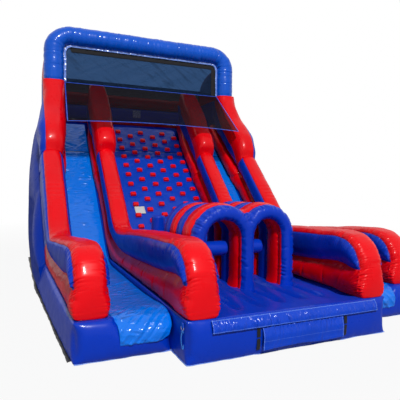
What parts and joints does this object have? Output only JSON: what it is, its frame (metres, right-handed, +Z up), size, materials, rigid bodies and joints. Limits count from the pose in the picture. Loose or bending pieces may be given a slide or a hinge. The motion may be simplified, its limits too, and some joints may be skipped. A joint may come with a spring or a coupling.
{
  "type": "inflatable slide",
  "caption": "Inflatable dry slide with side-by-side lanes, a climbing wall between them, a crawl tunnel on a front platform and an arched, meshed deck.",
  "frame": {"origin": "on the ground, under the middle of the overall box", "axes": "+Z up, +Y from the front platform to the deck's back, +X to the right of someone who faces the slide"},
  "size_m": [5.3416, 8.3017, 5.4295],
  "materials": {
    "blue_vinyl": "glossy coated fabric",
    "red_vinyl": "glossy coated fabric",
    "azure_vinyl": "glossy coated fabric",
    "mesh_netting": "open woven netting",
    "hook_tape": "matt",
    "webbing": "woven",
    "steel": "satin"
  },
  "bodies": {
    "slide": {"arch_frame": "blue_vinyl", "back_column_1": "blue_vinyl", "back_column_2": "blue_vinyl", "back_column_3": "blue_vinyl", "back_mesh": "mesh_netting", "back_rail_blue": "blue_vinyl", "back_rail_red": "red_vinyl", "back_rail_thin_red": "red_vinyl", "base_centre": "blue_vinyl", "base_lane_left": "blue_vinyl", "base_lane_right": "blue_vinyl", "base_rear": "blue_vinyl", "climbing_wall": "blue_vinyl", "deck": "blue_vinyl", "entry_mesh": "mesh_netting", "flank_left_1": "blue_vinyl", "flank_left_2": "blue_vinyl", "flank_left_3": "blue_vinyl", "flank_right_1": "blue_vinyl", "flank_right_2": "blue_vinyl", "flank_right_3": "blue_vinyl", "front_strip": "blue_vinyl", "hook_strip_left": "hook_tape", "hook_strip_right": "hook_tape", "inflation_sleeve_left": "blue_vinyl", "inflation_sleeve_right": "blue_vinyl", "inner_support_left": "blue_vinyl", "inner_support_right": "blue_vinyl", "inner_wall_left_head": "red_vinyl", "inner_wall_left_lower_tube": "red_vinyl", "inner_wall_left_upper_tube": "red_vinyl", "inner_wall_right_head": "red_vinyl", "inner_wall_right_lower_tube": "red_vinyl", "inner_wall_right_upper_tube": "red_vinyl", "outer_wall_left_head": "red_vinyl", "outer_wall_left_lower_tube": "red_vinyl", "outer_wall_left_upper_tube": "red_vinyl", "outer_wall_right_head": "red_vinyl", "outer_wall_right_lower_tube": "red_vinyl", "outer_wall_right_upper_tube": "red_vinyl", "side_wall_left": "red_vinyl", "side_wall_right": "red_vinyl", "slide_bed_left": "blue_vinyl", "slide_bed_right": "blue_vinyl", "slide_liner_left": "azure_vinyl", "slide_liner_right": "azure_vinyl", "tether_tab": "blue_vinyl", "tunnel_band_1": "red_vinyl", "tunnel_band_2": "blue_vinyl", "tunnel_band_3": "red_vinyl", "tunnel_band_4": "blue_vinyl", "tunnel_front_ring": "blue_vinyl", "window_mesh": "mesh_netting"},
    "tunnel_arm_left": {"tunnel_arm_left": "blue_vinyl"},
    "tunnel_arm_right": {"tunnel_arm_right": "blue_vinyl"},
    "popup_post_left": {"popup_post_left": "blue_vinyl"},
    "popup_post_right": {"popup_post_right": "blue_vinyl"},
    "connector_flap": {"connector_flap": "blue_vinyl"},
    "tether_ring": {"tether_ring": "steel", "tether_strap": "webbing"}
  },
  "joints": [
    {"name": "tunnel_arm_left_bend", "type": "hinge", "parent": "slide", "child": "tunnel_arm_left", "pos_m": [-0.5857, -2.82135, 0.99], "axis": [0, 0, 1], "range_deg": [-35, 35], "stiffness_Nm_per_rad": 3},
    {"name": "tunnel_arm_right_bend", "type": "hinge", "parent": "slide", "child": "tunnel_arm_right", "pos_m": [0.1333, -2.82135, 0.99], "axis": [0, 0, 1], "range_deg": [-35, 35], "stiffness_Nm_per_rad": 3},
    {"name": "popup_post_left_tilt", "type": "hinge", "parent": "slide", "child": "popup_post_left", "pos_m": [-0.82, -1.48935, 0.5743], "axis": [1, 0, 0], "range_deg": [-35, 12], "stiffness_Nm_per_rad": 14},
    {"name": "popup_post_right_tilt", "type": "hinge", "parent": "slide", "child": "popup_post_right", "pos_m": [0.82, -1.48935, 0.5743], "axis": [1, 0, 0], "range_deg": [-35, 12], "stiffness_Nm_per_rad": 14},
    {"name": "connector_flap_lift", "type": "hinge", "parent": "slide", "child": "connector_flap", "pos_m": [0.065, -4.14765, 0.316], "axis": [-1, 0, 0], "range_deg": [0, 130]},
    {"name": "tether_ring_swing", "type": "hinge", "parent": "slide", "child": "tether_ring", "pos_m": [-1.3729, -4.00935, 0.38], "axis": [0, 1, 0], "range_deg": [0, 80]}
  ]
}
